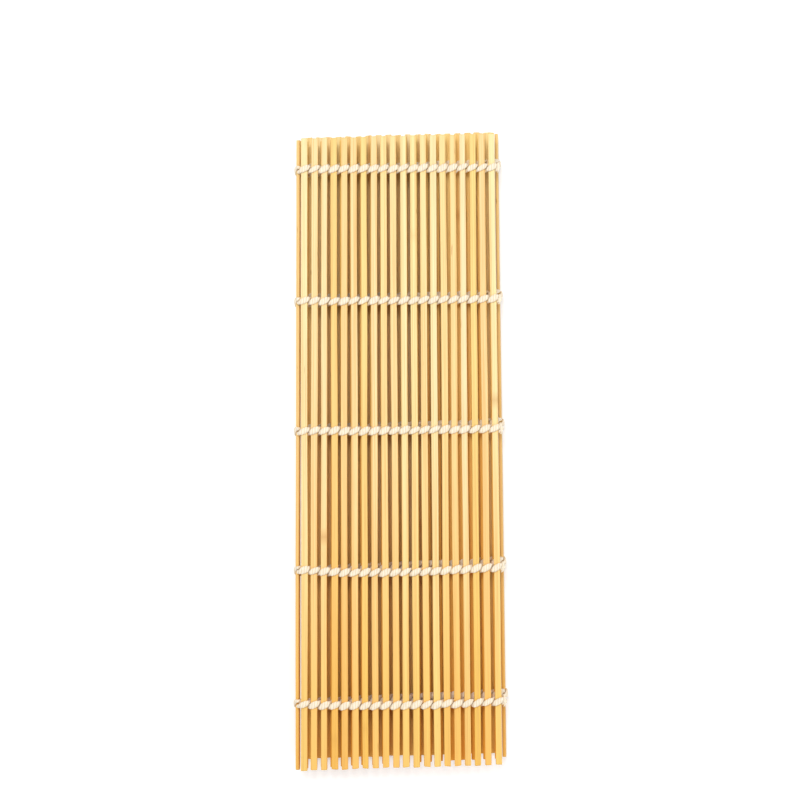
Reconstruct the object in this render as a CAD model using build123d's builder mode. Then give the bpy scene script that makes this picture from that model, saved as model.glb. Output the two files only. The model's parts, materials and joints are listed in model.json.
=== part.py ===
from build123d import *
import os

# Sushi rolling mat: bamboo slats tied side by side with five rows of twined cotton cord.
# It lies folded in three, flat on a table. The slats run along Y, and the front layer is on top.
# The origin is the middle of the footprint, at the table's height.

# Slats
slat_length = 270.0
slat_width = 2.7
slat_thickness = 1.6
slat_edge_round = 0.6
slat_end_chamfer = 0.3

# Cords
cord_diameter = 1.1
cord_slack = 0.05  # between a slat and the cord that goes round it
cord_side_step = 1.2  # a strand's distance from its row's line, where it passes between two slats
cord_break = 0.12  # a strand is parted this far each side of the line that it bends about
cord_flat = 0.11  # depth to which the strands under the mat are pressed flat by its weight

# Knots at the free edges
knot_diameter = 1.8
knot_gap = 0.05
tail_diameter = 1.0
tail_reach = 2.4  # from the knot's middle to a tail's tip

# The five rows' heights over the slats' lower ends, as shares of the slats' length
row_height_shares = [0.0978, 0.3035, 0.5237, 0.7313, 0.9457]

# Layers
fold_half_pitch = 2.7  # from a fold's bending line to the middle of the slat beside it
top_pitch = 4.28
bottom_pitch = 4.36
top_count = 20
middle_count = 19
bottom_count = 19
edge_clearance = 1.45  # from the front layer's free edge to the right fold's bending line
bottom_set_in = 1.5  # how much further from its fold the bottom layer begins than the others
rolling_count = 16  # slats of the top layer that curl up round the rice
group_size = 4  # slats to a node in the rigid panels

# How far the middle layer's slats have slid along the cords, as a share of its width, where right is over 0
middle_slide_share = -0.11

# Lean of the rows, as rise along Y for each millimetre along X
top_lean_share = 0.005
middle_lean_share = 0.046
bottom_lean_share = 0.005

# How far the slats have slipped in their rows
slat_slip_share = 0.018  # rise along Y for each millimetre along X, in the top and bottom layers
middle_slip = 0.7  # down, in the middle layer and the folds

# Places that follow from the sizes
cord_radius = cord_diameter / 2
cord_height = slat_thickness / 2 + cord_slack + cord_radius
cord_reach = slat_width / 2 + cord_slack + cord_radius
bend_radius = slat_edge_round + cord_slack + cord_radius
fold_pitch = 2 * fold_half_pitch
fold_width = fold_half_pitch + (top_count - 1) * top_pitch + slat_width / 2 + edge_clearance

left_fold_x = -fold_width / 2
right_fold_x = fold_width / 2
bottom_z = cord_height + cord_radius - cord_flat
middle_z = bottom_z + fold_pitch
top_z = middle_z + fold_pitch

right_y = fold_width * middle_lean_share / 2
left_y = -right_y

row_ys = [share * slat_length - slat_length / 2 for share in row_height_shares]


def top_y(x):
    return left_y + (x - left_fold_x) * top_lean_share


def middle_y(x):
    return left_y + (x - left_fold_x) * middle_lean_share


def bottom_y(x):
    return right_y + (x - right_fold_x) * bottom_lean_share


def slat_place(x, y_at, z):
    """The middle of a slat in the top or bottom layer."""
    return (x, y_at(x) + x * slat_slip_share, z)


def middle_slat_place(x, z):
    """The middle of a slat in the middle layer or a fold."""
    return (x, middle_y(x) - middle_slip, z)


def slid_xs(first_x, last_x, count, slide_share):
    """Slats from first_x to last_x, closer together at the side that they have slid towards."""
    shares = [i / (count - 1) for i in range(count)]
    return [first_x + (last_x - first_x) * (share + slide_share * share * (1 - share)) for share in shares]


first_x = left_fold_x + fold_half_pitch
last_x = right_fold_x - fold_half_pitch
top_xs = [first_x + i * top_pitch for i in range(top_count)]
middle_xs = slid_xs(first_x, last_x, middle_count, middle_slide_share)
bottom_xs = [last_x - bottom_set_in - i * bottom_pitch for i in reversed(range(bottom_count))]
fixed_xs = top_xs[: top_count - rolling_count]
rolling_xs = top_xs[top_count - rolling_count :]


# One slat, centred at the origin, flat and on edge


def slat(across):
    """A slat along Y, where across is the direction of its width."""
    with BuildPart() as made:
        with BuildSketch(Plane(origin=(0, -slat_length / 2, 0), x_dir=across, z_dir=(0, 1, 0))):
            RectangleRounded(slat_width, slat_thickness, slat_edge_round)
        extrude(amount=slat_length)
        chamfer(made.faces().filter_by(Axis.Y).edges(), length=slat_end_chamfer)
    return made.part


flat_slat = slat((1, 0, 0))
edge_slat = slat((0, 0, 1))


# Strands of cord


def strand_points(centres, y_at, side, run_on=0):
    """One strand's route over and under slats, with side 1 where it starts over the first of them.
    Each point is (along the row, along the slats, height over the slats' middle).
    The strand runs on past the last slat by run_on."""
    x = centres[0] - cord_reach
    points = [(x, y_at(x) - cord_side_step * side, cord_break * side)]
    for i, centre in enumerate(centres):
        points.append((x, points[-1][1], cord_height * side))
        x = centre + cord_reach + run_on
        if i < len(centres) - 1:
            x = (centre + centres[i + 1]) / 2
        points.append((x, y_at(x) + cord_side_step * side, cord_height * side))
        side = -side
    points.append((x, points[-1][1], -cord_break * side))
    return points


def row_pair(routes):
    """The two strands of one row."""
    with BuildPart() as made:
        for points in routes:
            start = Vector(*points[0])
            with BuildLine():
                FilletPolyline(*points, radius=bend_radius)
            with BuildSketch(Plane(origin=start, z_dir=Vector(*points[1]) - start)):
                Circle(cord_radius)
            sweep()
    return made.part


def flat_row(centres, y_at, z, run_on=0):
    """One row across a flat run of slats."""
    routes = []
    for side in (1, -1):
        points = strand_points(centres, y_at, side, run_on)
        routes.append([(x, y, z + height) for x, y, height in points])
    return row_pair(routes)


def fold_row(fold_x, fold_y, low_z):
    """One row round a slat that stands on edge in a fold."""
    routes = []
    for side in (1, -1):
        points = strand_points([fold_half_pitch], lambda up: fold_y, side)
        routes.append([(fold_x - height, y, low_z + up) for up, y, height in points])
    return row_pair(routes)


def row_places():
    """The five rows' places along the slats."""
    return Locations(*[(0, row, 0) for row in row_ys])


# A knot and its two tails


def knot(edge_x, y_at, z, outward):
    """The end of one row beside an edge slat, where outward is 1 for a right edge."""
    reach = cord_radius + knot_diameter / 2 + knot_gap
    beside = max(reach**2 - cord_side_step**2, 0) ** 0.5
    place = (edge_x + outward * (cord_reach + beside), y_at(edge_x), z)
    with BuildPart() as made:
        with BuildSketch(Plane(origin=place, z_dir=(0, 1, 0))):
            Circle(tail_diameter / 2)
        extrude(amount=tail_reach, both=True)
        with Locations(place):
            Sphere(knot_diameter / 2)
    return made.part


def groups(xs):
    """A layer's slats in runs of group_size."""
    return [xs[i : i + group_size] for i in range(0, len(xs), group_size)]


def write(part, name):
    part.label = name
    export_step(part, f"parts/{name}.step")


os.makedirs("parts", exist_ok=True)

# Bottom layer: it lies on the table, with its free edge at the left
for number, xs in enumerate(groups(bottom_xs), 1):
    with BuildPart() as bottom_slats:
        with Locations(*[slat_place(x, bottom_y, bottom_z) for x in xs]):
            add(flat_slat)
    write(bottom_slats.part, f"bottom_slats_{number:02d}")

with BuildPart() as pressed_row:
    add(flat_row(bottom_xs, bottom_y, bottom_z, bottom_set_in))
    split(bisect_by=Plane.XY, keep=Keep.TOP)

with BuildPart() as bottom_cords:
    with row_places():
        add(pressed_row.part)
write(bottom_cords.part, "bottom_cords")

with BuildPart() as bottom_end_knots:
    with row_places():
        add(knot(bottom_xs[0], bottom_y, bottom_z, -1))
write(bottom_end_knots.part, "bottom_end_knots")

# Right fold: one slat on edge between the bottom and middle layers
with BuildPart() as right_fold_slat:
    with Locations(middle_slat_place(right_fold_x, bottom_z + fold_half_pitch)):
        add(edge_slat)
write(right_fold_slat.part, "right_fold_slat")

with BuildPart() as right_fold_cords:
    with row_places():
        add(fold_row(right_fold_x, right_y, bottom_z))
write(right_fold_cords.part, "right_fold_cords")

# Middle layer
for number, xs in enumerate(groups(middle_xs), 1):
    with BuildPart() as middle_slats:
        with Locations(*[middle_slat_place(x, middle_z) for x in xs]):
            add(flat_slat)
    write(middle_slats.part, f"middle_slats_{number:02d}")

with BuildPart() as middle_cords:
    with row_places():
        add(flat_row(middle_xs, middle_y, middle_z))
write(middle_cords.part, "middle_cords")

# Left fold: one slat on edge between the middle and top layers
with BuildPart() as left_fold_slat:
    with Locations(middle_slat_place(left_fold_x, middle_z + fold_half_pitch)):
        add(edge_slat)
write(left_fold_slat.part, "left_fold_slat")

with BuildPart() as left_fold_cords:
    with row_places():
        add(fold_row(left_fold_x, left_y, middle_z))
write(left_fold_cords.part, "left_fold_cords")

# Top layer: its first slats stay flat
for number, x in enumerate(fixed_xs, 1):
    with BuildPart() as top_slat:
        with Locations(slat_place(x, top_y, top_z)):
            add(flat_slat)
    write(top_slat.part, f"top_slat_{number:02d}")

with BuildPart() as top_cords:
    with row_places():
        add(flat_row(fixed_xs, top_y, top_z))
write(top_cords.part, "top_cords")

# Top layer: the other slats curl up one by one, each with its own turns of cord
slat_turns = flat_row([0], lambda x: x * top_lean_share, 0)
for number, x in enumerate(rolling_xs, 1):
    with BuildPart() as roll_slat:
        with Locations(slat_place(x, top_y, top_z)):
            add(flat_slat)
    write(roll_slat.part, f"roll_slat_{number:02d}")
    with BuildPart() as roll_cords:
        with Locations(*[(x, row + top_y(x), top_z) for row in row_ys]):
            add(slat_turns)
    write(roll_cords.part, f"roll_cords_{number:02d}")

with BuildPart() as free_end_knots:
    with row_places():
        add(knot(top_xs[-1], top_y, top_z, 1))
write(free_end_knots.part, "free_end_knots")
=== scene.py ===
import json
import math
import random

import bpy
import numpy as np
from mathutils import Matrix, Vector


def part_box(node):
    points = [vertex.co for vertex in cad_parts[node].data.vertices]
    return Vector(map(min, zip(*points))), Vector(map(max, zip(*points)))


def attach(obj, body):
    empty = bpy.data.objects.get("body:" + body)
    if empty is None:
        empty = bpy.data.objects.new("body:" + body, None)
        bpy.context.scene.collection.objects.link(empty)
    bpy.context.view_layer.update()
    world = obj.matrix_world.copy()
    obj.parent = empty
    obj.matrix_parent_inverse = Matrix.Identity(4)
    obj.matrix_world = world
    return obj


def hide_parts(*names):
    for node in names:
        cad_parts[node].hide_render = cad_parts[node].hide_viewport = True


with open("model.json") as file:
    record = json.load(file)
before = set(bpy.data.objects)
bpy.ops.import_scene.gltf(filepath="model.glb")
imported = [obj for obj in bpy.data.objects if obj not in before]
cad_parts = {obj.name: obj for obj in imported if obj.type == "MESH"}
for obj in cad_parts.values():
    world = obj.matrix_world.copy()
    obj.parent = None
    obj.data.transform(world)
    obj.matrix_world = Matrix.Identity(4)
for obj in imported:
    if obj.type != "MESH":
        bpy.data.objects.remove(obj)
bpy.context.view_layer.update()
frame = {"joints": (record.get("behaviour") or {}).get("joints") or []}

MM = 0.001
JOINTS = {joint["name"]: joint for joint in frame["joints"]}

# Places of the folds' bending lines, from the joints
right_x = JOINTS["unfold"]["pos_m"][0]
left_x = JOINTS["unfold_left_upper"]["pos_m"][0]
bottom_z = JOINTS["unfold_right_lower"]["pos_m"][2]
middle_z = JOINTS["unfold"]["pos_m"][2]
top_z = JOINTS["unfold_left_upper"]["pos_m"][2]

# Slats
SLAT_WIDTH = 2.7 * MM
SLAT_THICKNESS = 1.6 * MM
SLAT_LENGTH = (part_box("left_fold_slat")[1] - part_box("left_fold_slat")[0]).y
SLAT_RINGS = 72
SLAT_SECTION_POINTS = 24
FACE_SQUARENESS, BACK_SQUARENESS = 8.5, 3.6  # a slat's face is flatter than its back
FLANK_SHARPNESS = 12  # how soon a slat's face turns into its flank
END_CHAMFER = 0.22 * MM
END_SHRINK = 0.86  # of a slat's section at its very ends
FOLD_LEAN = math.radians(9)  # of the slats on edge in the folds

# How single slats differ: the least and most, or the most either way
WIDTH_SHARES = (0.94, 1.04)
THICKNESS_SHARES = (0.92, 1.02)
SHORTEST_END = -0.45 * MM  # the most that an end falls short
END_SKEW = 0.12
SIDE_BEND = 0.12 * MM
SIDE_LEAN = 0.09 * MM
LIFT = 0.05 * MM
SWELL = 0.025
TURN, TWIST = 0.05, 0.03  # about the slat's own line, in radians
RIDGES = 0.012  # of single lines along the slat, as a share of its half width
NODE_SHARE = 0.18  # of the slats that show a ring
NODE_RANGE = 0.46  # a ring's place, as a share of the slat's length from its middle
NODE_REACH = 1.7 * MM
NODE_BULGE = 0.06
TONE_SPREAD = (0.95, 1.35)  # of the beta distribution that the slats' tones are drawn from
MOST_BLUSH = 0.9
GRAIN_STEPS = (0.05, 0.7, 0)  # from one slat's stretch of the fibres' noise to another's
MARKS = {  # brown marks on single slats: place along Y and reach
    "roll_slat_15": (100.7 * MM, 1.5 * MM),
    "roll_slat_16": (17.1 * MM, 2.6 * MM),
    "top_slat_03": (-37.9 * MM, 0.9 * MM),
}
BOTTOM_COUNT, MIDDLE_COUNT, FIXED_COUNT, ROLLING_COUNT = 19, 19, 4, 16
MIDDLE_SLIDE = -0.11  # of the middle layer's slats, where right is over 0, as in the part's source
GROUP_SIZE = 4

# How much painted shade the faces between the layers carry, and how much of it the flanks and ends show
BOTTOM_INNER_SHADE, MIDDLE_INNER_SHADE, TOP_INNER_SHADE = 0.3, 0.8, 0.5
FOLD_FLANK_SHADE = 0.3  # on the slats on edge
END_FLANK_SHADE = 0.4  # on the cut ends

# Rows of cord, as shares of the slats' length, and how far each one sags across the top layer
ROW_SHARES = [0.0978, 0.3035, 0.5237, 0.7313, 0.9457]
ROW_SAGS = [1.3 * MM, 1.9 * MM, 0.3 * MM, 0.3 * MM, 0.2 * MM]
SAG_AT_FOLD, SAG_AT_EDGES, SAG_EVENNESS = 0.3, 0.55, 0.75
ROW_DROPS = [3.4 * MM, 2.8 * MM, 1.2 * MM, 0.0, 0.0]  # of each row at the bottom layer's free edge

# How far the slats have slipped along Y in their rows, as in the part's source
SLAT_SLIP = 0.018  # for each metre along X, in the top and bottom layers
MIDDLE_SLIP = -0.7 * MM  # in the middle layer and the folds

# Strands
STRAND_HALF_THICKNESS = 0.55 * MM
STRAND_HALF_WIDTH = 1.34 * MM  # flattened on a slat's face
STRAND_NECK = 0.74 * MM  # between two slats
STRAND_STEP = 1.0 * MM  # from the row's line, where a strand passes between two slats
STRAND_RISE = SLAT_THICKNESS / 2 + STRAND_HALF_THICKNESS
STRAND_REACH = SLAT_WIDTH / 2 + 0.6 * MM
STRAND_RINGS = 22  # to a pass over one slat
STRAND_SIDES = 12
STRAND_SMOOTHINGS = 30
PLIES = 3
PLY_GROOVE = 0.12
PLY_CREST = 0.4  # how far the crests stand out, as a share of the grooves' depth
GROOVE_SHARPNESS = 1.5
PLY_LAY = 3.4 * MM
CAP_SHARES = (0.45, 0.8, 0.97)  # the places of a rounded end's rings
CAP_GROOVE = 0.3
PRESSED_DEPTH = 0.15 * MM
HALF_LOOP_POINTS = 40
LOOP_SQUARENESS = 3.2

# How single turns of a strand differ
RISE_SHARES = (0.97, 1.05)
STEP_SHARES = (0.9, 1.1)
FATNESS_SHARES = (0.86, 1.12)
TURN_TILT = 0.06
TURN_SHIFT = 0.18 * MM

# Knots and their frayed tails
KNOT_POINTS = 60
KNOT_SCALE = 0.33 * MM
KNOT_FLATNESS = (0.75, 0.75, 0.9)
KNOT_CORD_RADIUS = 0.42 * MM
TAIL_POINTS, TAIL_CORE_POINTS = 14, 10
TAIL_REACHES = (2.0 * MM, 2.8 * MM)
TAIL_RADII = (0.5 * MM, 0.42 * MM)
TAIL_ARCH = 0.25 * MM
MOST_TAIL_LEAN = 0.5 * MM
FRAY_COUNT, FRAY_POINTS = 7, 6
FRAY_RADII = (0.17 * MM, 0.05 * MM)
FRAY_SPREAD = 0.5 * MM
FRAY_START, FRAY_END = 0.35, 1.5  # how far apart the threads are there, as shares of the spread
FRAY_FLOOR = 0.3 * MM  # no frayed tip lies lower
THIN_SIDES = 8
THIN_GROOVE = 0.25


def srgb(red, green, blue):
    """A colour given as it looks on a screen, 0 to 255, for a shader socket."""
    shares = (red / 255, green / 255, blue / 255)
    return (*(c / 12.92 if c <= 0.04045 else ((c + 0.055) / 1.055) ** 2.4 for c in shares), 1.0)


# Layers: where each slat's middle is, and how the rows lean


def end_ys(first_node, last_node):
    """The middles along Y of a layer's first and last slats."""
    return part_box(first_node)[0].y + SLAT_LENGTH / 2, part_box(last_node)[1].y - SLAT_LENGTH / 2


def layer(first_node, last_node, count, z, slide, slip_at):
    """slip_at gives how far the slats have slipped from their rows."""
    low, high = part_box(first_node)[0].x + SLAT_WIDTH / 2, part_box(last_node)[1].x - SLAT_WIDTH / 2
    shares = [i / (count - 1) for i in range(count)]
    xs = [low + (high - low) * (share + slide * share * (1 - share)) for share in shares]
    first_y, last_y = end_ys(first_node, last_node)

    def slat_y(x):
        return first_y + (last_y - first_y) * (x - low) / (high - low)

    return {"xs": xs, "z": z, "slat_y": slat_y, "row_y": lambda x: slat_y(x) - slip_at(x)}


def leaning_slip(x):
    return SLAT_SLIP * x


def even_slip(x):
    return MIDDLE_SLIP


BOTTOM = layer("bottom_slats_01", "bottom_slats_05", BOTTOM_COUNT, bottom_z, 0, leaning_slip)
MIDDLE = layer("middle_slats_01", "middle_slats_05", MIDDLE_COUNT, middle_z, MIDDLE_SLIDE, even_slip)
TOP = layer("top_slat_01", "roll_slat_16", FIXED_COUNT + ROLLING_COUNT, top_z, 0, leaning_slip)
LEFT_FOLD_Y = sum(corner.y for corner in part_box("left_fold_slat")) / 2
RIGHT_FOLD_Y = sum(corner.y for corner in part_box("right_fold_slat")) / 2


# Materials


def new_material(name):
    material = bpy.data.materials.new(name)
    material.use_nodes = True
    material.node_tree.nodes.clear()
    return material, material.node_tree.nodes, material.node_tree.links


def ramp(nodes, stops):
    node = nodes.new("ShaderNodeValToRGB")
    node.color_ramp.elements[0].position, node.color_ramp.elements[0].color = stops[0]
    node.color_ramp.elements[1].position, node.color_ramp.elements[1].color = stops[-1]
    for position, colour in stops[1:-1]:
        node.color_ramp.elements.new(position).color = colour
    return node


def grey(value):
    return (value, value, value, 1.0)


def mix(nodes, links, blend_type, factor, first, second):
    """A colour mix. factor, first and second are sockets or plain values."""
    node = nodes.new("ShaderNodeMix")
    node.data_type, node.blend_type = "RGBA", blend_type
    for socket, value in ((node.inputs[0], factor), (node.inputs[6], first), (node.inputs[7], second)):
        if isinstance(value, bpy.types.NodeSocket):
            links.new(value, socket)
        else:
            socket.default_value = value
    return node.outputs[2]


def maths(nodes, links, operation, first, second=None):
    node = nodes.new("ShaderNodeMath")
    node.operation = operation
    for socket, value in zip(node.inputs, (first, second)):
        if isinstance(value, bpy.types.NodeSocket):
            links.new(value, socket)
        elif value is not None:
            socket.default_value = value
    return node.outputs[0]


def attribute(nodes, name):
    node = nodes.new("ShaderNodeAttribute")
    node.attribute_name = name
    return node


def stretched_noise(nodes, links, vector, scale, detail, roughness=0.5):
    """Noise whose grain is given across, along and through the slat, in cycles per metre."""
    mapping = nodes.new("ShaderNodeMapping")
    mapping.inputs["Scale"].default_value = scale
    links.new(vector, mapping.inputs["Vector"])
    noise = nodes.new("ShaderNodeTexNoise")
    noise.inputs["Scale"].default_value = 1.0
    noise.inputs["Detail"].default_value = detail
    noise.inputs["Roughness"].default_value = roughness
    links.new(mapping.outputs["Vector"], noise.inputs["Vector"])
    return noise.outputs["Fac"]


def bamboo_material():
    """Split bamboo: straw to honey by slat, long fibres, streaks, flecks and a darker ring at a node, with
    painted shade towards the lower ends, on the faces between the layers and on the flanks.
    """
    material, nodes, links = new_material("bamboo")
    place = attribute(nodes, "slat_place").outputs["Vector"]
    tone = attribute(nodes, "slat_tone").outputs["Fac"]
    to_node = attribute(nodes, "slat_node").outputs["Fac"]
    flank = attribute(nodes, "slat_flank").outputs["Fac"]
    blush = attribute(nodes, "slat_blush").outputs["Fac"]
    inner = attribute(nodes, "slat_inner").outputs["Fac"]
    height = attribute(nodes, "slat_height").outputs["Fac"]

    tones = ramp(nodes, [(0.0, srgb(248, 236, 194)), (0.3, srgb(246, 228, 166)), (0.55, srgb(243, 217, 139)),
                         (0.8, srgb(239, 201, 102)), (1.0, srgb(231, 174, 56))])
    links.new(tone, tones.inputs["Fac"])
    colour = mix(nodes, links, "MIX", blush, tones.outputs["Color"], srgb(249, 219, 162))

    # painted light and shade: paler towards the slats' upper ends, where the light came from, darker and more
    # orange towards their lower ends
    lower = ramp(nodes, [(0.0, (0.98, 0.76, 0.39, 1)), (0.12, (0.99, 0.79, 0.45, 1)),
                         (0.4, (1, 0.91, 0.8, 1)), (0.6, (1, 0.97, 0.95, 1)), (1.0, grey(1.0))])
    links.new(height, lower.inputs["Fac"])
    colour = mix(nodes, links, "MULTIPLY", 1.0, colour, lower.outputs["Color"])
    # painted shade on the faces between the layers, where little light reaches: a deep orange, deeper towards
    # the slats' lower ends
    inner_shade_colours = ramp(nodes, [(0.0, srgb(238, 166, 44)), (0.45, srgb(245, 188, 76)), (1.0, srgb(250, 214, 124))])
    links.new(height, inner_shade_colours.inputs["Fac"])
    colour = mix(nodes, links, "MIX", inner, colour, inner_shade_colours.outputs["Color"])

    streaks = stretched_noise(nodes, links, place, (1500, 9, 900), 3)
    streak = ramp(nodes, [(0.42, grey(0.0)), (0.78, grey(0.75))])
    links.new(streaks, streak.inputs["Fac"])
    # the streaks are grain; on the faces between the layers they take a deeper orange, as painted shade
    streak_and_inner_shade_colour = mix(nodes, links, "MIX", inner, srgb(226, 172, 92), srgb(218, 130, 16))
    colour = mix(nodes, links, "MIX", streak.outputs["Color"], colour, streak_and_inner_shade_colour)

    fibres = stretched_noise(nodes, links, place, (7000, 45, 5000), 4, 0.6)
    fibre = ramp(nodes, [(0.3, grey(0.86)), (0.7, grey(1.04))])
    links.new(fibres, fibre.inputs["Fac"])
    colour = mix(nodes, links, "MULTIPLY", 1.0, colour, fibre.outputs["Color"])

    flecks = stretched_noise(nodes, links, place, (900, 70, 700), 2)
    fleck = ramp(nodes, [(0.735, grey(0.0)), (0.8, grey(0.8))])
    links.new(flecks, fleck.inputs["Fac"])
    colour = mix(nodes, links, "MIX", fleck.outputs["Color"], colour, srgb(158, 96, 42))

    # painted shade on the flanks and cut ends, seen in the gaps: the deep orange of the faces between the
    # layers
    flanks = ramp(nodes, [(0.25, grey(0.0)), (0.95, grey(0.85))])
    links.new(flank, flanks.inputs["Fac"])
    colour = mix(nodes, links, "MIX", flanks.outputs["Color"], colour, inner_shade_colours.outputs["Color"])

    ring = ramp(nodes, [(0.0, grey(0.62)), (0.3, grey(0.4)), (1.0, grey(0.0))])
    links.new(to_node, ring.inputs["Fac"])
    colour = mix(nodes, links, "MIX", ring.outputs["Color"], colour, srgb(190, 120, 46))

    shader = nodes.new("ShaderNodeBsdfPrincipled")
    links.new(colour, shader.inputs["Base Color"])
    shader.inputs["Specular IOR Level"].default_value = 0.27
    rough = ramp(nodes, [(0.2, grey(0.62)), (0.8, grey(0.44))])
    links.new(fibres, rough.inputs["Fac"])
    links.new(rough.outputs["Color"], shader.inputs["Roughness"])
    bump = nodes.new("ShaderNodeBump")
    bump.inputs["Strength"].default_value = 0.35
    bump.inputs["Distance"].default_value = 0.08 * MM
    links.new(fibres, bump.inputs["Height"])
    links.new(bump.outputs["Normal"], shader.inputs["Normal"])
    output = nodes.new("ShaderNodeOutputMaterial")
    links.new(shader.outputs["BSDF"], output.inputs["Surface"])
    return material


def cotton_material():
    """Undyed cotton twine: warm white yarns with painted shade in the grooves between the plies and a soft
    nap.
    """
    material, nodes, links = new_material("cotton_twine")
    groove = attribute(nodes, "ply_groove").outputs["Fac"]
    coordinates = nodes.new("ShaderNodeTexCoord").outputs["Object"]
    # painted shade: the yarn darkens with its depth in a groove between the plies
    yarn = ramp(nodes, [(0.0, srgb(249, 237, 216)), (0.6, srgb(243, 229, 203)), (1.0, srgb(226, 200, 160))])
    links.new(groove, yarn.inputs["Fac"])
    blotches = stretched_noise(nodes, links, coordinates, (700, 700, 700), 3)
    blotch = ramp(nodes, [(0.35, grey(0.9)), (0.65, grey(1.0))])
    links.new(blotches, blotch.inputs["Fac"])
    colour = mix(nodes, links, "MULTIPLY", 1.0, yarn.outputs["Color"], blotch.outputs["Color"])
    shader = nodes.new("ShaderNodeBsdfPrincipled")
    links.new(colour, shader.inputs["Base Color"])
    shader.inputs["Roughness"].default_value = 0.92
    shader.inputs["Specular IOR Level"].default_value = 0.2
    shader.inputs["Sheen Weight"].default_value = 0.25
    shader.inputs["Sheen Roughness"].default_value = 0.5
    nap = stretched_noise(nodes, links, coordinates, (9000, 9000, 9000), 3, 0.7)
    bump = nodes.new("ShaderNodeBump")
    bump.inputs["Strength"].default_value = 0.5
    bump.inputs["Distance"].default_value = 0.06 * MM
    links.new(nap, bump.inputs["Height"])
    links.new(bump.outputs["Normal"], shader.inputs["Normal"])
    output = nodes.new("ShaderNodeOutputMaterial")
    links.new(shader.outputs["BSDF"], output.inputs["Surface"])
    return material


# Mesh gathering


class Gathered:
    """Vertices, faces and point values of one piece, gathered before its mesh is made."""

    def __init__(self):
        self.points, self.faces, self.flat_faces, self.values = [], [], [], {}

    def add(self, points, faces, values, flat_from=None):
        """faces from number flat_from on are flat shaded."""
        base = sum(len(p) for p in self.points)
        flat_from = len(faces) if flat_from is None else flat_from
        self.points.append(np.asarray(points, float))
        for number, face in enumerate(faces):
            if number >= flat_from:
                self.flat_faces.append(len(self.faces))
            self.faces.append(tuple(base + corner for corner in face))
        for name, value in values.items():
            self.values.setdefault(name, []).append(np.asarray(value, float))

    def build(self, name, material):
        mesh = bpy.data.meshes.new(name)
        mesh.from_pydata(np.concatenate(self.points).tolist(), [], self.faces)
        smooth = np.ones(len(self.faces), bool)
        smooth[self.flat_faces] = False
        mesh.polygons.foreach_set("use_smooth", smooth)
        for key, parts in self.values.items():
            data = np.concatenate(parts)
            kind = "FLOAT_VECTOR" if data.ndim == 2 else "FLOAT"
            field = "vector" if data.ndim == 2 else "value"
            mesh.attributes.new(key, kind, "POINT").data.foreach_set(field, data.astype(np.float32).ravel())
        mesh.materials.append(material)
        mesh.update()
        piece = bpy.data.objects.new(name, mesh)
        bpy.context.scene.collection.objects.link(piece)
        return piece


def tube_faces(rings, sides):
    """The wall's quads of a tube, and then its two end fans, whose middles follow the rings' points."""
    wall = []
    for r in range(rings - 1):
        for k in range(sides):
            after = (k + 1) % sides
            wall.append((r * sides + k, r * sides + after, (r + 1) * sides + after, (r + 1) * sides + k))
    first_middle, last_middle = rings * sides, rings * sides + 1
    fans = [(first_middle, (k + 1) % sides, k) for k in range(sides)]
    last = (rings - 1) * sides
    fans += [(last_middle, last + k, last + (k + 1) % sides) for k in range(sides)]
    return wall, fans


def turned(faces):
    """The same faces, looking the other way."""
    return [tuple(reversed(face)) for face in faces]


# Slats


def slow_wave(rng, along, amount):
    """A gentle bend along a slat, made of two long waves."""
    wave = np.zeros_like(along)
    for cycles, share in ((rng.uniform(0.4, 1.0), 1.0), (rng.uniform(1.3, 2.6), 0.45)):
        wave += amount * share * np.sin(2 * math.pi * (cycles * along + rng.random()))
    return wave


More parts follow.
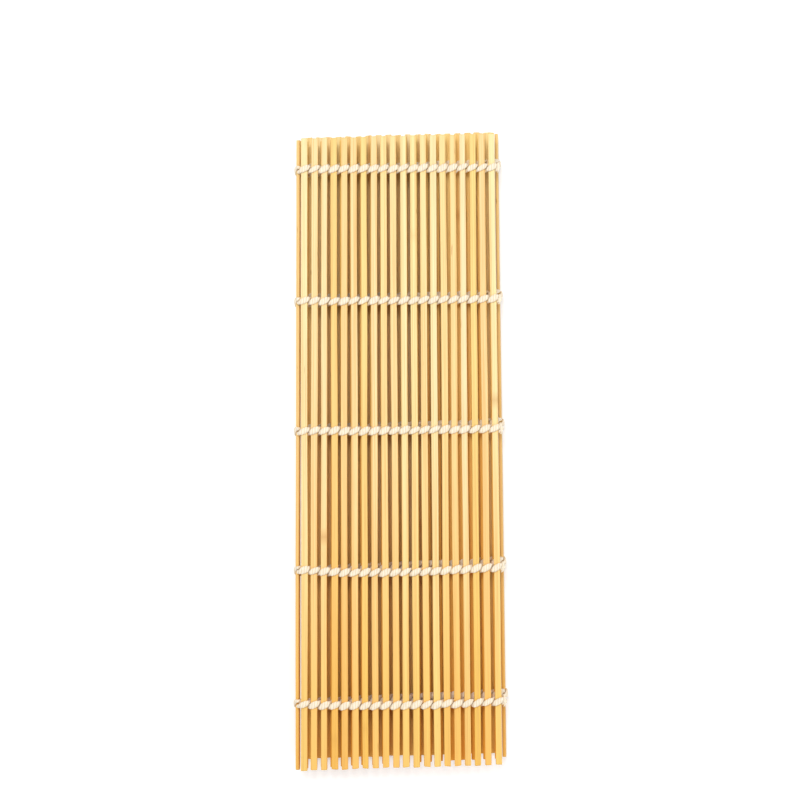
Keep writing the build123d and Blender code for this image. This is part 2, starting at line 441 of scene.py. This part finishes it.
def slat_points(rng, inner_shade_up, inner_shade_down, flank_shade_share, lean, mark):
    """One slat about the origin: its points as (across, along, through), its count of rings and its values.
    Its inner and flank arguments say how much painted shade its two faces and its flanks carry."""
    width = SLAT_WIDTH / 2 * rng.uniform(*WIDTH_SHARES)
    thickness = SLAT_THICKNESS / 2 * rng.uniform(*THICKNESS_SHARES)
    ends = [rng.uniform(SHORTEST_END, 0), rng.uniform(SHORTEST_END, 0)]
    skews = [rng.uniform(-END_SKEW, END_SKEW), rng.uniform(-END_SKEW, END_SKEW)]
    steps = np.linspace(0, 1, SLAT_RINGS - 4)
    margin = END_CHAMFER / SLAT_LENGTH
    share = np.concatenate([[0, margin], margin + (1 - 2 * margin) * steps[1:-1], [1 - margin, 1]])
    share = np.sort(np.concatenate([share, [margin * 3, 1 - margin * 3]]))
    rings = len(share)
    along = (share - 0.5) * SLAT_LENGTH
    along = along - ends[0] * (1 - share) + ends[1] * share
    shrink = np.ones(rings)
    shrink[[0, -1]] = END_SHRINK
    bend = slow_wave(rng, share, SIDE_BEND) + rng.uniform(-SIDE_LEAN, SIDE_LEAN) * (2 * share - 1)
    lift = slow_wave(rng, share, LIFT)
    swell = 1 + SWELL * np.sin(2 * math.pi * (rng.uniform(1.5, 4) * share + rng.random()))
    ring_at, has_ring = rng.uniform(-NODE_RANGE, NODE_RANGE) * SLAT_LENGTH, rng.random() < NODE_SHARE
    nowhere = SLAT_LENGTH  # off the slat's end
    mark_at, mark_reach = mark or (ring_at if has_ring else nowhere, NODE_REACH)
    bulge = NODE_BULGE * np.exp(-(((along - mark_at) / mark_reach) ** 2))
    turn = lean + rng.uniform(-TURN, TURN) + slow_wave(rng, share, TWIST)

    angle = np.linspace(0, 2 * math.pi, SLAT_SECTION_POINTS, endpoint=False) + math.pi / SLAT_SECTION_POINTS
    cosine, sine = np.cos(angle), np.sin(angle)
    power = 2 / np.where(sine > 0, FACE_SQUARENESS, BACK_SQUARENESS)
    across = np.sign(cosine) * np.abs(cosine) ** power
    through = np.sign(sine) * np.abs(sine) ** power
    ridges = 1 + RIDGES * np.array([rng.uniform(-1, 1) for _ in angle])

    size = (shrink * swell + bulge)[:, None]
    u = across[None, :] * width * size * ridges
    w = through[None, :] * thickness * (shrink + bulge)[:, None] * ridges
    turn_cosine, turn_sine = np.cos(turn)[:, None], np.sin(turn)[:, None]
    u, w = u * turn_cosine - w * turn_sine, u * turn_sine + w * turn_cosine
    v = np.repeat(along[:, None], len(angle), 1)
    v[:2] += skews[0] * u[:2]
    v[-2:] += skews[1] * u[-2:]
    u = u + bend[:, None]
    w = w + lift[:, None]
    points = np.stack([u, v, w], -1).reshape(-1, 3)
    middles = np.array([points[: len(angle)].mean(0), points[-len(angle) :].mean(0)])
    points = np.concatenate([points, middles])

    # painted shade on the flanks, which face the gaps between the slats
    flank = np.repeat((np.abs(across) ** FLANK_SHARPNESS)[None, :], rings, 0).ravel() * flank_shade_share
    # painted shade on the faces that lie against another layer, and half as much on the cut ends
    inner = np.repeat(np.where(sine > 0, inner_shade_up, inner_shade_down)[None, :], rings, 0).ravel()
    ends_inner_shade = max(inner_shade_up, inner_shade_down) / 2
    seed = rng.uniform(0, 40)
    values = {
        "slat_place": points + seed * np.array(GRAIN_STEPS),
        "slat_tone": np.full(len(points), rng.betavariate(*TONE_SPREAD)),
        "slat_blush": np.full(len(points), MOST_BLUSH * rng.random()),
        "slat_inner": np.concatenate([inner, [ends_inner_shade, ends_inner_shade]]),
        "slat_node": np.minimum(np.abs(points[:, 1] - mark_at) / mark_reach, 1),
        "slat_flank": np.concatenate([flank, [END_FLANK_SHADE, END_FLANK_SHADE]]),
        "slat_height": points[:, 1] / SLAT_LENGTH + 0.5,
    }
    return points, rings, values


def add_slat(gathered, rng, x, y, z, on_edge=0, inner_shade_up=0.0, inner_shade_down=0.0, mark=None):
    """on_edge is 1 or -1 for a slat whose face looks to +X or -X."""
    flank_shade_share, lean = (FOLD_FLANK_SHADE, FOLD_LEAN) if on_edge else (1.0, 0.0)
    points, rings, values = slat_points(rng, inner_shade_up, inner_shade_down, flank_shade_share, lean, mark)
    if on_edge:
        points = np.stack([points[:, 2] * on_edge, points[:, 1], points[:, 0] * -on_edge], -1)
    wall, fans = tube_faces(rings, SLAT_SECTION_POINTS)
    # the section turns from +X to +Z while the rings go along +Y, so the faces are turned to look outward
    gathered.add(points + np.array([x, y, z]), turned(wall + fans), values, len(wall))


def slat_piece(node, body, places, rng, material, on_edge=0, inner_shade_up=0.0, inner_shade_down=0.0):
    gathered = Gathered()
    for x, y, z in places:
        add_slat(gathered, rng, x, y, z, on_edge, inner_shade_up, inner_shade_down, MARKS.get(node))
    piece = gathered.build(f"bamboo_{node}", material)
    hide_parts(node)
    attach(piece, body)


def make_slats(material):
    rng = random.Random(27)
    for prefix, there, inner_shade_up in (("bottom", BOTTOM, BOTTOM_INNER_SHADE), ("middle", MIDDLE, MIDDLE_INNER_SHADE)):
        places = [(x, there["slat_y"](x), there["z"]) for x in there["xs"]]
        for number, first in enumerate(range(0, len(places), GROUP_SIZE), 1):
            node, group = f"{prefix}_slats_{number:02d}", places[first : first + GROUP_SIZE]
            slat_piece(node, f"{prefix}_panel", group, rng, material, inner_shade_up=inner_shade_up)
    for node, body, x, y, z, on_edge in (
        ("right_fold_slat", "right_fold", right_x, RIGHT_FOLD_Y, (bottom_z + middle_z) / 2, 1),
        ("left_fold_slat", "left_fold", left_x, LEFT_FOLD_Y, (middle_z + top_z) / 2, -1),
    ):
        slat_piece(node, body, [(x, y, z)], rng, material, on_edge)
    for number, x in enumerate(TOP["xs"], 1):
        node, body = f"top_slat_{number:02d}", "top_panel"
        if number > FIXED_COUNT:
            node, body = f"roll_slat_{number - FIXED_COUNT:02d}", f"roll_{number - FIXED_COUNT:02d}"
        slat_piece(node, body, [(x, TOP["slat_y"](x), top_z)], rng, material, inner_shade_down=TOP_INNER_SHADE)


# The mat laid out flat: a slat's place along it, and the way from there to where it lies folded


def unrolled():
    """Each slat in the order in which the cords pass it: its middle along the flat mat, and its section."""
    fold = middle_z - bottom_z
    lines = [0.0, fold]  # the bending lines' places along the flat mat, from the first fold's first line
    lines += [lines[-1] + right_x - left_x]
    lines += [lines[-1] + fold]
    order = [(x - right_x, "bottom") for x in BOTTOM["xs"]]
    order.append((fold / 2, "right_fold"))
    order += [(lines[1] + right_x - x, "middle") for x in reversed(MIDDLE["xs"])]
    order.append((lines[2] + fold / 2, "left_fold"))
    order += [(lines[3] + x - left_x, "top") for x in TOP["xs"]]
    return order, lines


SLAT_ORDER, LINES = unrolled()


def fold_up(section, points):
    """Where points given as (along the flat mat, along the slats, over the slats) lie on the folded one."""
    s, v, w = points[:, 0], points[:, 1], points[:, 2]
    if section == "bottom":
        return np.stack([right_x + s, v, bottom_z + w], -1)
    if section == "right_fold":
        return np.stack([right_x - w, v, bottom_z + s], -1)
    if section == "middle":
        return np.stack([right_x - (s - LINES[1]), v, middle_z - w], -1)
    if section == "left_fold":
        return np.stack([left_x - w, v, middle_z + s - LINES[2]], -1)
    return np.stack([left_x + s - LINES[3], v, top_z + w], -1)


def row_line(s, sag, drop):
    """How far a row lies along Y, at a place along the flat mat."""
    if s <= 0:
        return BOTTOM["row_y"](right_x + s) + drop * s / (right_x - left_x)
    if s <= LINES[1]:
        return RIGHT_FOLD_Y - MIDDLE_SLIP
    if s <= LINES[2]:
        return MIDDLE["row_y"](right_x - (s - LINES[1]))
    if s <= LINES[3]:
        return LEFT_FOLD_Y - MIDDLE_SLIP + sag * SAG_AT_FOLD
    x = left_x + s - LINES[3]
    share = min(max((x - left_x) / (right_x - left_x), 0), 1) ** SAG_EVENNESS
    return TOP["row_y"](x) + sag * (SAG_AT_EDGES - 4 * share * (1 - share))


# Strands


def half_loop(middle, side, rise, step, tilt):
    """A strand's way over one slat: from between it and the slat before, to between it and the next."""
    angle = np.linspace(math.pi, 0, HALF_LOOP_POINTS)
    cosine, sine = np.cos(angle), np.sin(angle)
    power = 2 / LOOP_SQUARENESS
    s = np.sign(cosine) * np.abs(cosine) ** power * STRAND_REACH
    w = side * rise * np.abs(sine) ** power
    v = side * step * (s / STRAND_REACH) + tilt * w
    return np.stack([middle + s, v, w], -1)


def strand_line(rng, row_y, sag, drop, first_side):
    """One strand's middle line over the flat mat, and the numbers of its points at the slats' middles."""
    loops, side = [], first_side
    for middle, _ in SLAT_ORDER:
        rise = STRAND_RISE * rng.uniform(*RISE_SHARES)
        step = STRAND_STEP * rng.uniform(*STEP_SHARES)
        loop = half_loop(middle, side, rise, step, rng.uniform(-TURN_TILT, TURN_TILT))
        shift = row_y + rng.uniform(-TURN_SHIFT, TURN_SHIFT)
        loop[:, 1] += np.array([row_line(s, sag, drop) for s in loop[:, 0]]) + shift
        loops.append(loop)
        side = -side
    marks = HALF_LOOP_POINTS * np.arange(len(loops)) + HALF_LOOP_POINTS // 2
    return np.concatenate(loops), marks


def resampled(points, count):
    """count points evenly spaced along a line, its ends kept."""
    lengths = np.concatenate([[0], np.cumsum(np.linalg.norm(np.diff(points, axis=0), axis=1))])
    wanted = np.linspace(0, lengths[-1], count)
    return np.stack([np.interp(wanted, lengths, points[:, k]) for k in range(points.shape[1])], -1)


def smoothed(points, times):
    for _ in range(times):
        inner = (points[:-2] + points[2:]) / 2
        points = np.concatenate([points[:1], (points[1:-1] + inner) / 2, points[-1:]])
    return points


def tube_points(line, phase, flatness, fatness):
    """A three-ply strand round a line: its rings' points and how deep each lies in a groove."""
    tangent = np.gradient(line, axis=0)
    tangent /= np.linalg.norm(tangent, axis=1)[:, None]
    along_slat = np.array([0.0, 1.0, 0.0])
    wide = along_slat - tangent * (tangent @ along_slat)[:, None]
    wide /= np.linalg.norm(wide, axis=1)[:, None]
    thick = np.cross(tangent, wide)
    k = np.arange(STRAND_SIDES)
    angle = 2 * math.pi * k[None, :] / STRAND_SIDES + phase[:, None]
    ply = np.abs(np.cos(PLIES * math.pi * k / STRAND_SIDES))
    groove = np.repeat((1 - ply)[None, :], len(line), 0)
    radius = 1 + PLY_GROOVE * PLY_CREST - PLY_GROOVE * groove**GROOVE_SHARPNESS
    half_width = (STRAND_NECK + (STRAND_HALF_WIDTH - STRAND_NECK) * flatness) * fatness
    offset = thick[:, None, :] * (np.cos(angle) * radius * STRAND_HALF_THICKNESS)[:, :, None]
    offset = offset + wide[:, None, :] * (np.sin(angle) * radius * half_width[:, None])[:, :, None]
    return line[:, None, :] + offset, groove


def add_tube(gathered, line, phase, flatness, fatness):
    """A closed tube, with a rounded cap at each end."""
    rings, groove = tube_points(line, phase, flatness, fatness)
    first, last = line[0], line[-1]
    out_first = (line[0] - line[1]) / np.linalg.norm(line[0] - line[1])
    out_last = (line[-1] - line[-2]) / np.linalg.norm(line[-1] - line[-2])
    cap = STRAND_HALF_THICKNESS
    before, after = [], []
    for share in CAP_SHARES:
        before.insert(0, first + (rings[0] - first) * math.sqrt(1 - share**2) + out_first * cap * share)
        after.append(last + (rings[-1] - last) * math.sqrt(1 - share**2) + out_last * cap * share)
    rings = np.concatenate([np.array(before), rings, np.array(after)])
    cap_rings = len(CAP_SHARES)
    groove = np.pad(groove, ((cap_rings, cap_rings), (0, 0)), "edge")
    points = np.concatenate([rings.reshape(-1, 3), [first + out_first * cap], [last + out_last * cap]])
    # the strands under the mat are pressed against the table
    low = points[:, 2] < PRESSED_DEPTH
    points[low, 2] = PRESSED_DEPTH * np.exp((points[low, 2] - PRESSED_DEPTH) / PRESSED_DEPTH)
    wall, fans = tube_faces(len(rings), STRAND_SIDES)
    # how much painted groove shade each point carries, the rounded tips a little
    depths = np.append(groove.ravel(), [CAP_GROOVE, CAP_GROOVE])
    gathered.add(points, turned(wall + fans), {"ply_groove": depths})


def crossing(line, index, s):
    """Where the line crosses place s between points index and index + 1."""
    before, after = line[index], line[index + 1]
    return before + (after - before) * (s - before[0]) / (after[0] - before[0])


def section_slats():
    """The numbers of the slats, in the cords' order, that each piece of cord goes round."""
    counts = {
        "bottom_cords": BOTTOM_COUNT,
        "right_fold_cords": 1,
        "middle_cords": MIDDLE_COUNT,
        "left_fold_cords": 1,
        "top_cords": FIXED_COUNT,
    }
    counts.update({f"roll_cords_{number:02d}": 1 for number in range(1, ROLLING_COUNT + 1)})
    groups, first = {}, 0
    for name, count in counts.items():
        groups[name] = list(range(first, first + count))
        first += count
    return groups


BODY_OF_CORDS = {
    "bottom_cords": "bottom_panel",
    "right_fold_cords": "right_fold",
    "middle_cords": "middle_panel",
    "left_fold_cords": "left_fold",
    "top_cords": "top_panel",
}


def make_cords(material):
    """All the strands. Each is cut where it crosses a bending line, so that every piece rides on one body."""
    rng = random.Random(61)
    groups = section_slats()
    gathered = {name: Gathered() for name in groups}
    cuts = list(LINES)  # the bending lines' places along the flat mat
    for slats in list(groups.values())[-ROLLING_COUNT:]:
        cuts.append((SLAT_ORDER[slats[0] - 1][0] + SLAT_ORDER[slats[0]][0]) / 2)
    for share, sag, drop in zip(ROW_SHARES, ROW_SAGS, ROW_DROPS):
        row_y = (share - 0.5) * SLAT_LENGTH
        for first_side in (1, -1):
            line, marks = strand_line(rng, row_y, sag, drop, first_side)
            line = smoothed(line, STRAND_SMOOTHINGS)
            start_phase = rng.uniform(0, 2 * math.pi)
            widths = [rng.uniform(*FATNESS_SHARES) for _ in marks]
            lengths = np.concatenate([[0], np.cumsum(np.linalg.norm(np.diff(line, axis=0), axis=1))])
            for number, (name, slats) in enumerate(groups.items()):
                low = np.searchsorted(line[:, 0], cuts[number - 1]) if number else 0
                high = np.searchsorted(line[:, 0], cuts[number]) if number < len(cuts) else len(line)
                before = [crossing(line, low - 1, cuts[number - 1])] if low else []
                after = [crossing(line, high - 1, cuts[number])] if high < len(line) else []
                span = resampled(np.array([*before, *line[low:high], *after]), STRAND_RINGS * len(slats))
                step = np.linalg.norm(np.diff(span, axis=0), axis=1)
                run = lengths[low] + np.concatenate([[0], np.cumsum(step)])
                phase = start_phase + 2 * math.pi * run / PLY_LAY
                flatness = np.clip(np.abs(span[:, 2]) / STRAND_RISE, 0, 1) ** 2
                fatness = np.interp(run, lengths[marks], widths)
                placed = fold_up(SLAT_ORDER[slats[0]][1], span)
                add_tube(gathered[name], placed, phase, flatness, fatness)
    for name, held in gathered.items():
        piece = held.build(f"cotton_{name}", material)
        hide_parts(name)
        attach(piece, BODY_OF_CORDS.get(name) or name.replace("roll_cords", "roll"))


# Knots


def knot_line(turn):
    """An overhand knot's line."""
    t = np.linspace(0, 2 * math.pi, KNOT_POINTS, endpoint=False)
    x, y, z = np.sin(t) + 2 * np.sin(2 * t), np.cos(t) - 2 * np.cos(2 * t), -np.sin(3 * t)
    x, y = x * math.cos(turn) - y * math.sin(turn), x * math.sin(turn) + y * math.cos(turn)
    return np.stack([x, y, z], -1) * KNOT_SCALE * np.array(KNOT_FLATNESS)


def add_thin_tube(gathered, line, radii, looped=False):
    """A smooth tube of varying radius, closed by caps, or by running back into itself where it is looped."""
    tangent = np.roll(line, -1, 0) - np.roll(line, 1, 0) if looped else np.gradient(line, axis=0)
    tangent /= np.linalg.norm(tangent, axis=1)[:, None]
    away = np.array([0.3, 0.2, 0.93])
    side = np.cross(tangent, away)
    side /= np.linalg.norm(side, axis=1)[:, None]
    up = np.cross(tangent, side)
    angle = 2 * math.pi * np.arange(THIN_SIDES) / THIN_SIDES
    ring = side[:, None, :] * np.cos(angle)[None, :, None] + up[:, None, :] * np.sin(angle)[None, :, None]
    rings = line[:, None, :] + ring * np.asarray(radii)[:, None, None]
    points = np.concatenate([rings.reshape(-1, 3)] + ([] if looped else [[line[0]], [line[-1]]]))
    wall, ends = tube_faces(len(line), THIN_SIDES)
    if looped:
        last = (len(line) - 1) * THIN_SIDES
        ends = [(last + k, last + (k + 1) % THIN_SIDES, (k + 1) % THIN_SIDES, k) for k in range(THIN_SIDES)]
    # the knots and tails carry an even, light share of the painted groove shade
    gathered.add(points, wall + ends, {"ply_groove": np.full(len(points), THIN_GROOVE)})


def add_knot(gathered, rng, place, outward):
    """A tied-off row end: the knot and two short frayed tails."""
    line = knot_line(rng.uniform(0, 2)) + place
    add_thin_tube(gathered, line, np.full(len(line), KNOT_CORD_RADIUS), looped=True)
    for way in (1, -1):
        reach = rng.uniform(*TAIL_REACHES)
        lean = -outward * rng.uniform(0, MOST_TAIL_LEAN)
        share = np.linspace(0, 1, TAIL_POINTS)
        core = place + np.stack([lean * share**1.5, way * reach * share, TAIL_ARCH * np.sin(3 * share)], -1)
        add_thin_tube(gathered, core[:TAIL_CORE_POINTS], np.linspace(*TAIL_RADII, TAIL_CORE_POINTS))
        for _ in range(FRAY_COUNT):
            aside, along, up = rng.uniform(-1, 1), rng.uniform(-0.2, 0.3) * way, rng.uniform(-0.7, 1)
            spread = np.array([aside, along, up]) * FRAY_SPREAD
            start = core[TAIL_CORE_POINTS - 2] + spread * FRAY_START
            tip = core[-1] + spread * FRAY_END
            tip[2] = max(tip[2], FRAY_FLOOR)
            fray = start + (tip - start) * np.linspace(0, 1, FRAY_POINTS)[:, None]
            add_thin_tube(gathered, fray, np.linspace(*FRAY_RADII, FRAY_POINTS))


def make_knots(material):
    rng = random.Random(10)
    for node, body, there, outward in (("bottom_end_knots", "bottom_panel", BOTTOM, -1),
                                       ("free_end_knots", f"roll_{ROLLING_COUNT:02d}", TOP, 1)):
        gathered = Gathered()
        knot_x = sum(corner.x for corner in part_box(node)) / 2
        s = LINES[3] + knot_x - left_x if there is TOP else knot_x - right_x
        for share, sag, drop in zip(ROW_SHARES, ROW_SAGS, ROW_DROPS):
            place = np.array([knot_x, row_line(s, sag, drop) + (share - 0.5) * SLAT_LENGTH, there["z"]])
            add_knot(gathered, rng, place, outward)
        piece = gathered.build(f"cotton_{node}", material)
        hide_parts(node)
        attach(piece, body)


# Camera, light and floor


def make_camera():
    """The photograph's view: from above, a little from the slats' lower ends, in a frame of 800 by 800."""
    distance, tilt, roll = 0.652, math.radians(6.0), math.radians(0.33)
    focal_pixels, frame_pixels = 1525, 800
    data = bpy.data.cameras.new("camera")
    data.sensor_width = 36
    data.lens = focal_pixels / frame_pixels * data.sensor_width
    camera = bpy.data.objects.new("camera", data)
    target = Vector((0.2 * MM, 17.54 * MM, top_z))
    back = Vector((0, -math.sin(tilt), math.cos(tilt)))
    camera.location = target + back * distance
    camera.rotation_euler = (-back).to_track_quat("-Z", "Y").to_euler()
    camera.rotation_euler.rotate_axis("Z", -roll)
    bpy.context.scene.collection.objects.link(camera)
    bpy.context.scene.camera = camera


def make_light():
    scene = bpy.context.scene
    scene.view_settings.view_transform = "Standard"
    world = bpy.data.worlds.new("world")
    scene.world = world
    world.use_nodes = True
    nodes, links = world.node_tree.nodes, world.node_tree.links
    background = nodes["Background"]
    background.inputs["Color"].default_value = (1, 1, 1, 1)
    strength, more_in_view = 0.66, 0.3
    path = nodes.new("ShaderNodeLightPath")
    paler = maths(nodes, links, "MULTIPLY", path.outputs["Is Camera Ray"], more_in_view)
    links.new(maths(nodes, links, "ADD", paler, strength), background.inputs["Strength"])
    for name, place, size, power in (
        ("key", (-0.12, 0.28, 0.80), 0.35, 3.55),
        ("fill", (0.40, -0.30, 0.6), 0.5, 1.2),
    ):
        data = bpy.data.lights.new(name, "AREA")
        data.size, data.energy = size, power
        lamp = bpy.data.objects.new(name, data)
        lamp.location = place
        lamp.rotation_mode = "QUATERNION"
        lamp.rotation_quaternion = (-Vector(place)).to_track_quat("-Z", "Y")
        scene.collection.objects.link(lamp)


def make_floor():
    half = 3.0
    corners = [(-half, -half, 0), (half, -half, 0), (half, half, 0), (-half, half, 0)]
    mesh = bpy.data.meshes.new("floor")
    mesh.from_pydata(corners, [], [(0, 1, 2, 3)])
    floor = bpy.data.objects.new("floor", mesh)
    bpy.context.scene.collection.objects.link(floor)
    material, nodes, links = new_material("floor")
    matte = nodes.new("ShaderNodeBsdfDiffuse")
    matte.inputs["Color"].default_value = (0.86, 0.86, 0.86, 1)
    output = nodes.new("ShaderNodeOutputMaterial")
    glow = nodes.new("ShaderNodeEmission")
    glow.inputs["Color"].default_value = (1, 1, 1, 1)
    path = nodes.new("ShaderNodeLightPath")
    # the lamps light the floor less further out, so it glows more there
    away = nodes.new("ShaderNodeVectorMath")
    away.operation = "LENGTH"
    links.new(nodes.new("ShaderNodeTexCoord").outputs["Object"], away.inputs[0])
    reach = nodes.new("ShaderNodeMapRange")
    for name, value in (("From Min", 0.3), ("From Max", 1.1), ("To Min", 0.26), ("To Max", 0.37)):
        reach.inputs[name].default_value = value
    links.new(away.outputs["Value"], reach.inputs["Value"])
    strength = maths(nodes, links, "MULTIPLY", path.outputs["Is Camera Ray"], reach.outputs["Result"])
    links.new(strength, glow.inputs["Strength"])
    both = nodes.new("ShaderNodeAddShader")
    links.new(matte.outputs["BSDF"], both.inputs[0])
    links.new(glow.outputs["Emission"], both.inputs[1])
    links.new(both.outputs["Shader"], output.inputs["Surface"])
    mesh.materials.append(material)


make_camera()
make_light()
make_floor()
bamboo, cotton = bamboo_material(), cotton_material()
make_slats(bamboo)
make_cords(cotton)
make_knots(cotton)
